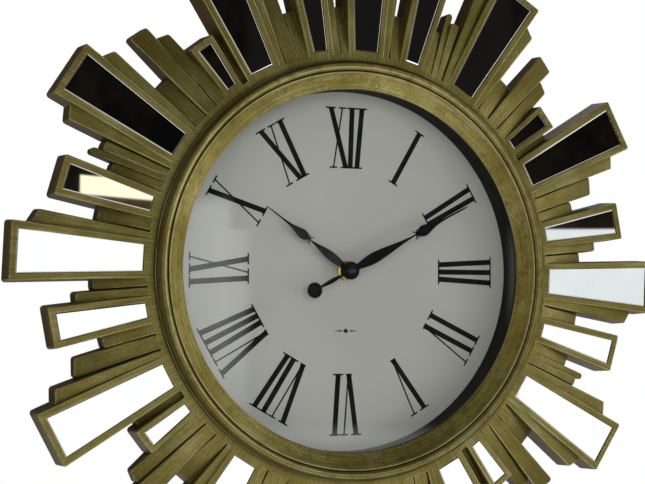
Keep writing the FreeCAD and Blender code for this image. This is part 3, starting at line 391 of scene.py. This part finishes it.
def make_materials():
    return {
        "gold_moulding": gold("gold_moulding", True),
        "gold_bezel": gold("gold_bezel", False),
        "clear_glass": glass("clear_glass"),
        "black_well": moulded("black_well", (0.005, 0.005, 0.005), (0.009, 0.009, 0.008),
                              (0.5, 0.7), specular=0.12),
        "grey_dial": dial_sheet("grey_dial"),
        "black_housing": moulded("black_housing", (0.016, 0.016, 0.017), (0.027, 0.027, 0.028),
                                 (0.45, 0.62)),
        "black_case": moulded("black_case", (0.013, 0.013, 0.014), (0.023, 0.023, 0.024),
                              (0.38, 0.55), 1900.0),
        "zinc_screw": metal("zinc_screw", (0.42, 0.42, 0.40), (0.60, 0.60, 0.57)),
        "zinc_plate": metal("zinc_plate", (0.40, 0.40, 0.39), (0.55, 0.56, 0.54), (0.26, 0.42)),
        "white_plastic": moulded("white_plastic", (0.66, 0.65, 0.59), (0.74, 0.73, 0.68),
                                 (0.32, 0.45), 1200.0, 0.1),
        "brass_part": metal("brass_part", (0.50, 0.40, 0.13), (0.74, 0.61, 0.24), (0.18, 0.32)),
        "black_rubber": moulded("black_rubber", (0.014, 0.014, 0.014), (0.022, 0.022, 0.022),
                                (0.7, 0.85), 600.0),
        "steel_arbor": metal("steel_arbor", (0.45, 0.45, 0.45), (0.62, 0.62, 0.62), (0.15, 0.28)),
        "grey_knob": moulded("grey_knob", (0.10, 0.10, 0.105), (0.15, 0.15, 0.155), (0.4, 0.55)),
        "magnet_rotor": metal("magnet_rotor", (0.07, 0.07, 0.075), (0.12, 0.12, 0.125), (0.4, 0.6)),
        "soft_iron": metal("soft_iron", (0.28, 0.28, 0.28), (0.40, 0.40, 0.40), (0.3, 0.45)),
        "copper_coil": copper("copper_coil"),
        "green_board": board("green_board"),
        "crystal_can": metal("crystal_can", (0.60, 0.60, 0.58), (0.74, 0.74, 0.72), (0.12, 0.25)),
        "cell_sleeve": cell_sleeve("cell_sleeve"),
        "plated_spring": metal("plated_spring", (0.52, 0.52, 0.50), (0.68, 0.68, 0.65),
                               (0.18, 0.3)),
        "black_hand": enamel("black_hand", 0.30, (0.12, 0.18)),
        "black_nut": enamel("black_nut", 0.4, (0.04, 0.08)),
        "mirror_glass": mirror("mirror_glass"),
    }


def make_object(bm, name, mat, sharp=None):
    """The bmesh as a linked object; with sharp, it is smooth except at edges of more degrees."""
    mesh = bpy.data.meshes.new(name)
    bm.to_mesh(mesh)
    bm.free()
    if sharp is not None:
        mesh.shade_smooth()
        mesh.set_sharp_from_angle(angle=math.radians(sharp))
    mesh.materials.append(mat)
    obj = bpy.data.objects.new(name, mesh)
    bpy.context.scene.collection.objects.link(obj)
    return obj


def dress(materials):
    for name, obj in NODES.items():
        obj.data.materials.clear()
        obj.data.materials.append(materials[SLOT_OF[name]])


# ---------------------------------------------------------------- printed dial

OUTER_R, INNER_R = 119.4, 74.7       # the serif lines of the numerals, mm from the hand axis
THICK, THIN = 3.9, 1.15              # stroke widths
SERIF, THIN_SERIF = 4.05, 3.0        # half length of the serif at a thick and at a thin stroke
SERIF_T = 1.15
SERIF_GAP = 0.2                      # serifs nearer than this run together
FLARE, FLARE_RISE = 0.7, 1.6         # how much wider a stroke ends, and over what length
SQUEEZE = 0.67                       # how much closer together the letters are at the inner line
INK_T = 0.05
SPACING = {"II": 7.9, "XI": 12.3, "IX": 13.3, "VI": 12.3, "IV": 14.0}
HALF_WIDTH = {"I": 4.05, "V": 9.0, "X": 8.9}
NUMERALS = ["I", "II", "III", "IV", "V", "VI", "VII", "VIII", "IX", "X", "XI", "XII"]
LETTERS = {                          # strokes: place at the outer line, at the inner line, width
    "I": ((0.0, 0.0, THICK),),
    "V": ((-4.8, 0.0, THICK), (4.8, 0.3, THIN)),
    "X": ((-4.6, 4.8, THICK), (4.6, -5.0, THIN)),
}


def letter_places(text):
    """Where each letter's middle sits along the outer line, with the whole numeral centred."""
    places = [0.0]
    for pair in zip(text[:-1], text[1:]):
        places.append(places[-1] + SPACING["".join(pair)])
    shift = ((places[0] - HALF_WIDTH[text[0]]) + (places[-1] + HALF_WIDTH[text[-1]])) / 2
    return [p - shift for p in places]


def stroke_outline(outer, inner, width):
    """One stroke, flared a little where it meets its serifs."""
    half = width / 2
    rows = ((OUTER_R, half + FLARE), (OUTER_R - FLARE_RISE, half),
            (INNER_R + FLARE_RISE, half), (INNER_R, half + FLARE))
    side = []
    for r, w in rows:
        t = inner + (outer - inner) * (r - INNER_R) / (OUTER_R - INNER_R)
        side.append((t, r, w))
    return [(t + w, r) for t, r, w in side] + [(t - w, r) for t, r, w in reversed(side)]


def bar_outline(t0, t1, r0, r1):
    return [(t0, r0), (t1, r0), (t1, r1), (t0, r1)]


def numeral_outlines(text):
    outlines, outer_serifs, inner_serifs = [], [], []
    for letter, place in zip(text, letter_places(text)):
        for at_outer, at_inner, width in LETTERS[letter]:
            outer, inner = place + at_outer, place * SQUEEZE + at_inner
            outlines.append(stroke_outline(outer, inner, width))
            reach = SERIF if width == THICK else THIN_SERIF
            outer_serifs.append((outer - reach, outer + reach))
            if letter != "V":
                inner_serifs.append((inner - reach, inner + reach))
    for spans, r0 in ((outer_serifs, OUTER_R - SERIF_T), (inner_serifs, INNER_R)):
        outlines += [bar_outline(a, b, r0, r0 + SERIF_T) for a, b in joined(spans)]
    return outlines


def joined(spans):
    """Spans that touch become one."""
    out = []
    for a, b in sorted(spans):
        if out and a <= out[-1][1] + SERIF_GAP:
            out[-1] = (out[-1][0], max(b, out[-1][1]))
        else:
            out.append((a, b))
    return out


def printed(name, outlines, turn, mat):
    """Thin closed prisms of ink on the dial; outline points are (clockwise, outwards) in mm."""
    bm = bmesh.new()
    c, s = math.cos(turn), math.sin(turn)
    for points in outlines:
        rings = []
        for y in (DIAL_FRONT - INK_T * MM, DIAL_FRONT):
            ring = []
            for t, r in points:
                ring.append(bm.verts.new((MM * (t * c + r * s), y, AXIS_Z + MM * (r * c - t * s))))
            rings.append(ring)
        bm.faces.new(rings[0])
        bm.faces.new(list(reversed(rings[1])))
        for i in range(len(points)):
            j = (i + 1) % len(points)
            bm.faces.new((rings[0][j], rings[0][i], rings[1][i], rings[1][j]))
    bmesh.ops.recalc_face_normals(bm, faces=bm.faces)
    piece = make_object(bm, name, mat)
    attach(piece, "clock")


ORNAMENT_R = -43.7                   # outwards from the hand axis along twelve, so it is below it
RULE_FROM, RULE_TO, RULE_HALF = 3.4, 10.0, 0.6
LOZENGE_WIDE, LOZENGE_HIGH = 2.3, 1.9


def ornament_outlines():
    """A small lozenge between two tapering rules, below the hub."""
    low, r, high = ORNAMENT_R - RULE_HALF, ORNAMENT_R, ORNAMENT_R + RULE_HALF
    rules = [[(side * RULE_FROM, low), (side * RULE_TO, r), (side * RULE_FROM, high)]
             for side in (-1, 1)]
    lozenge = [(-LOZENGE_WIDE, r), (0.0, r - LOZENGE_HIGH),
               (LOZENGE_WIDE, r), (0.0, r + LOZENGE_HIGH)]
    return rules + [lozenge]


def print_dial(mat):
    for hour, text in enumerate(NUMERALS, start=1):
        printed(f"numeral_{hour:02d}", numeral_outlines(text), math.radians(30.0 * hour), mat)
    printed("dial_ornament", ornament_outlines(), 0.0, mat)


# ---------------------------------------------------------------- bezel

# Outline as (radius, height in front of the frame's front), mm; two more numbers are a point on the
# arc that leads there
BEZEL = [
    (130.0, -0.2), (140.7, 5.9),                                # cone
    (142.0, 5.75, 141.4, 6.55), (142.45, 5.15),                 # bead
    (149.0, 2.5, 145.5, 8.4), (149.2, 1.7),                     # ridge
    (150.15, 1.5, 149.75, 2.45), (150.2, -1.5),                 # outer lip
    (147.6, -1.5), (147.6, 1.0), (142.0, 3.2),                  # underside
    (134.2, -0.3), (134.2, -1.5), (130.0, -1.5),
]
BEZEL_STEPS, ARC_STEPS = 540, 14
SHARP_BEZEL = 28.0                  # faces that meet at more degrees than this keep a crisp edge


def arc(a, b, c):
    """Points after a along the circle through a, b and c, up to c."""
    (ax, ay), (bx, by), (cx, cy) = a, b, c
    d = 2 * (ax * (by - cy) + bx * (cy - ay) + cx * (ay - by))
    aa, bb, cc = ax * ax + ay * ay, bx * bx + by * by, cx * cx + cy * cy
    ux = (aa * (by - cy) + bb * (cy - ay) + cc * (ay - by)) / d
    uy = (aa * (cx - bx) + bb * (ax - cx) + cc * (bx - ax)) / d
    r = math.hypot(ax - ux, ay - uy)
    start, middle, end = (math.atan2(y - uy, x - ux) for x, y in (a, b, c))
    middle, end = ((t - start) % math.tau for t in (middle, end))
    if middle > end:
        end -= math.tau
    turns = [start + end * n / ARC_STEPS for n in range(1, ARC_STEPS + 1)]
    return [(ux + r * math.cos(t), uy + r * math.sin(t)) for t in turns]


def turned_bezel(mat):
    """The bezel turned finely about the hand axis, with a crisp bead between cone and ridge."""
    outline = []
    for point in BEZEL:
        outline += arc(outline[-1], point[2:], point[:2]) if len(point) == 4 else [point]
    bm = bmesh.new()
    rings = []
    for n in range(BEZEL_STEPS):
        a = math.tau * n / BEZEL_STEPS
        c, s = math.cos(a), math.sin(a)
        rings.append([bm.verts.new((MM * r * c, FACE_Y - MM * h, AXIS_Z + MM * r * s))
                      for r, h in outline])
    for ring, after in zip(rings, rings[1:] + rings[:1]):
        for k in range(len(outline)):
            j = (k + 1) % len(outline)
            bm.faces.new((ring[k], ring[j], after[j], after[k]))
    bmesh.ops.recalc_face_normals(bm, faces=bm.faces)
    piece = make_object(bm, "bezel_turned", mat, SHARP_BEZEL)
    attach(piece, "clock")
    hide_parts("bezel_ring")


# ---------------------------------------------------------------- hands

FOLD, FOLD_RUN = 0.8, 7.0           # height of the fold, and the length over which it rises, mm
HOUR_ANGLE = 305.2                  # where the hour hand points, degrees clockwise from twelve
FOLD_START, FOLD_TIP = 7, 56        # from the axis, mm
LEVEL = 0.02                        # how near a point counts as on the front or on the ridge, mm
WELD, ON_PLANE = 1e-6, 1e-7         # how near points count as one, and as on a cut, m
SHARP_HAND = 10.0                   # faces that meet at more degrees than this keep a crisp edge


def embossed_hand(node, body, angle, start, tip, mat):
    """The stamped blade with a raised fold along its middle.

    The fold runs from start to tip, mm from the axis; angle is clockwise from twelve, degrees.
    """
    bm = bmesh.new()
    bm.from_mesh(NODES[node].data)
    bmesh.ops.remove_doubles(bm, verts=bm.verts, dist=WELD)
    a = math.radians(angle)
    centre = Vector((0.0, 0.0, AXIS_Z))
    across = Vector((math.cos(a), 0.0, -math.sin(a)))
    forward = Vector((math.sin(a), 0.0, math.cos(a)))
    front = min(v.co.y for v in bm.verts)
    near = LEVEL * MM
    cuts = [(centre, across)]
    cuts += [(centre + forward * step * MM, forward) for step in range(start, tip)]
    for place, normal in cuts:
        level = [f for f in bm.faces if all(abs(v.co.y - front) < near for v in f.verts)]
        around = {f for face in level for e in face.edges for f in e.link_faces}
        geometry = list(around)
        geometry += list({e for f in around for e in f.edges})
        geometry += list({v for f in around for v in f.verts})
        bmesh.ops.bisect_plane(bm, geom=geometry, dist=ON_PLANE, plane_co=place, plane_no=normal)
    for v in bm.verts:
        offset = v.co - centre
        s = offset.dot(forward) / MM
        on_ridge = abs(v.co.y - front) < near and abs(offset.dot(across)) < near
        if on_ridge and start < s < tip:
            v.co.y -= FOLD * MM * min(1.0, (s - start) / FOLD_RUN, (tip - s) / FOLD_RUN)
    bmesh.ops.recalc_face_normals(bm, faces=bm.faces)
    piece = make_object(bm, node + "_blade", mat, SHARP_HAND)
    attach(piece, body)
    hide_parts(node)


# ---------------------------------------------------------------- studio

LAMPS = (        # name, place from the dial's middle (m), size (m), power (W), colour, mirrored
    ("key", (1.30, -0.85, -0.35), 0.48, 3.8, (1.0, 0.99, 0.97), False),
    ("low", (0.30, -1.00, -1.05), 0.5, 3.0, (0.99, 0.99, 1.0), True),
    ("soft", (-0.35, -1.90, 0.35), 1.5, 9.6, (1.0, 1.0, 1.0), False),
    ("side", (-1.25, -0.72, -0.15), 0.6, 2.4, (1.0, 0.99, 0.96), False),
    ("back", (0.8, 1.2, 1.7), 0.9, 16.0, (1.0, 1.0, 1.0), True),
)


def lamp(name, place, size, power, colour, mirrored):
    """Round soft lamp aimed at the dial; mirrored says whether metal and mirrors may show it."""
    data = bpy.data.lights.new(name, "AREA")
    data.shape = "DISK"
    data.size = size
    data.energy = power
    data.color = colour
    obj = bpy.data.objects.new(name, data)
    target = Vector((0.0, DIAL_FRONT, AXIS_Z))
    obj.location = target + Vector(place)
    obj.visible_camera = False
    obj.visible_glossy = mirrored
    obj.rotation_mode = "QUATERNION"
    obj.rotation_quaternion = (target - obj.location).to_track_quat("-Z", "Y")
    bpy.context.scene.collection.objects.link(obj)


# The surroundings are laid out by direction: azimuth in radians, 0 straight in front of the dial
# and positive to the right, and height, the sine of the elevation. Colours over 1 are bright light.
LOW_ROOM, PANE = (1.16, 1.17, 1.18), (0.86, 0.90, 0.905)
PANE_SPAN = ((0.525, 0.625), (-0.008, 0.2))
PANE_SOFT = 0.008
ROOM_TOP = (0.0485, 0.0505)              # where the pale room gives way to dark shelves
SHADE = (0.17, 0.16, 0.13)
UNDER, UNDER_FROM = (0.06, 0.055, 0.042), (-0.262, -0.275)
SHADE_SPAN = ((0.64, 0.88), (-0.9, 0.03))
SHADE_SOFT = 0.01
AHEAD_DARK, AHEAD_PALE, AHEAD_TURN = (0.16, 0.15, 0.13), (0.46, 0.45, 0.42), (0.060, -0.020)
AHEAD_FROM = (0.15, 0.08)
DIM_LEFT, DIM_LEFT_FROM = (0.09, 0.085, 0.07), (-0.14, -0.18)
SILL_MIDDLE, SILL_SLOPE = 0.25, 0.08     # the warm window's lower edge slopes by this
SILL_PATCHES = (                         # azimuth span, height span, soft edge, colour
    ((0.233, 0.30), (0.052, 0.072), 0.002, (0.060, 0.040, 0.016)),     # brown sill
    ((0.2312, 0.30), (0.0700, 0.0822), 0.0008, (1.2, 1.17, 0.84)),     # warm window
)
PATCHES = (
    ((0.34, 0.515), (-0.082, 0.9), 0.006, (0.010, 0.009, 0.008)),      # dark booth
    ((0.291, 0.329), (-0.5, 0.068), 0.005, (1.62, 1.64, 1.60)),        # veil on the glass
    ((0.30, 0.80), (0.43, 0.60), 0.02, (0.90, 0.90, 0.87)),            # pale panel high up
    ((-1.6, -0.35), (-0.9, 0.5), 0.05, (0.55, 0.54, 0.49)),            # left wall
    ((-1.2, -0.5), (-0.8, -0.35), 0.05, (2.2, 2.15, 1.9)),             # low light on the left
    ((0.625, 1.65), (0.02, 0.60), 0.012, (1.0, 1.0, 0.95)),            # right wall
    ((0.90, 1.65), (-0.75, -0.20), 0.012, (2.6, 2.57, 2.35)),          # low light on the right
)
BEHIND, BEHIND_FROM = (0.10, 0.10, 0.10), (0.02, -0.16)
CAMERA_SEES = (1.0, 1.0, 1.0)


def world_light():
    """What the metal, mirrors and glass show; the camera itself sees plain white."""
    world = bpy.data.worlds.new("studio")
    bpy.context.scene.world = world
    world.use_nodes = True
    g = Graph(world.node_tree)
    background = world.node_tree.nodes["Background"]
    direction = g.add("TexCoord").outputs["Generated"]
    x, y, z = g.add("SeparateXYZ", {0: direction}).outputs
    front = g.math("MULTIPLY", y, -1.0)
    azimuth = g.math("ARCTAN2", x, front)
    clutter = g.noise(direction, 7.0, 5.0, 0.7)
    shelf = g.ramp(clutter, (0.42, (0.003, 0.003, 0.003)), (0.56, (0.012, 0.009, 0.006)),
                   (0.72, (0.085, 0.060, 0.040)))
    low = g.mix(g.between(azimuth, z, *PANE_SPAN, PANE_SOFT), LOW_ROOM, PANE)
    room = g.mix(g.window(z, *ROOM_TOP), low, shelf)
    room = g.mix(g.window(z, *UNDER_FROM), room, UNDER)
    room = g.mix(g.between(azimuth, z, *SHADE_SPAN, SHADE_SOFT), room, SHADE)
    ahead = g.mix(g.window(z, *AHEAD_TURN), AHEAD_DARK, AHEAD_PALE)
    room = g.mix(g.window(azimuth, *AHEAD_FROM), room, ahead)
    room = g.mix(g.window(azimuth, *DIM_LEFT_FROM), room, DIM_LEFT)
    slope = g.math("MULTIPLY", g.math("SUBTRACT", azimuth, SILL_MIDDLE), SILL_SLOPE)
    sill = g.math("ADD", z, slope)
    for height, patches in ((sill, SILL_PATCHES), (z, PATCHES)):
        for across, up, soft, colour in patches:
            room = g.mix(g.between(azimuth, height, across, up, soft), room, colour)
    room = g.mix(g.window(front, *BEHIND_FROM), room, BEHIND)
    seen = g.add("LightPath").outputs["Is Camera Ray"]
    g.put(background.inputs["Color"], g.mix(seen, room, CAMERA_SEES))


FLOOR_HALF, FLOOR_BELOW = 3.0, 0.70     # half its side, and how far it is below the clock, m


def stage_floor():
    bm = bmesh.new()
    bmesh.ops.create_grid(bm, x_segments=8, y_segments=8, size=FLOOR_HALF)
    floor = make_object(bm, "stage_floor", pale("stage_floor"))
    floor.location = (0.0, 0.0, CAD_LO.z - FLOOR_BELOW)


CAMERA_X, CAMERA_Y, CAMERA_RISE = -0.43608, -1.03586, -0.02469     # rise from the hand axis
CAMERA_TURN = (92.361, -0.211, -22.349)     # degrees about X, Y and Z: looks right, a little up
SENSOR_WIDTH, LENS = 36.0, 84.79            # mm


def camera():
    data = bpy.data.cameras.new("camera")
    data.sensor_width = SENSOR_WIDTH
    data.lens = LENS
    obj = bpy.data.objects.new("camera", data)
    obj.location = (CAMERA_X, CAMERA_Y, AXIS_Z + CAMERA_RISE)
    obj.rotation_euler = [math.radians(v) for v in CAMERA_TURN]
    bpy.context.scene.collection.objects.link(obj)
    bpy.context.scene.camera = obj


materials = make_materials()
dress(materials)
print_dial(ink("dial_ink"))
turned_bezel(materials["gold_bezel"])
embossed_hand("hour_hand", "hour_group", HOUR_ANGLE, FOLD_START, FOLD_TIP, materials["black_hand"])
for name, place, size, power, colour, mirrored in LAMPS:
    lamp(name, place, size, power, colour, mirrored)
world_light()
stage_floor()
camera()
bpy.context.scene.view_settings.view_transform = "Standard"
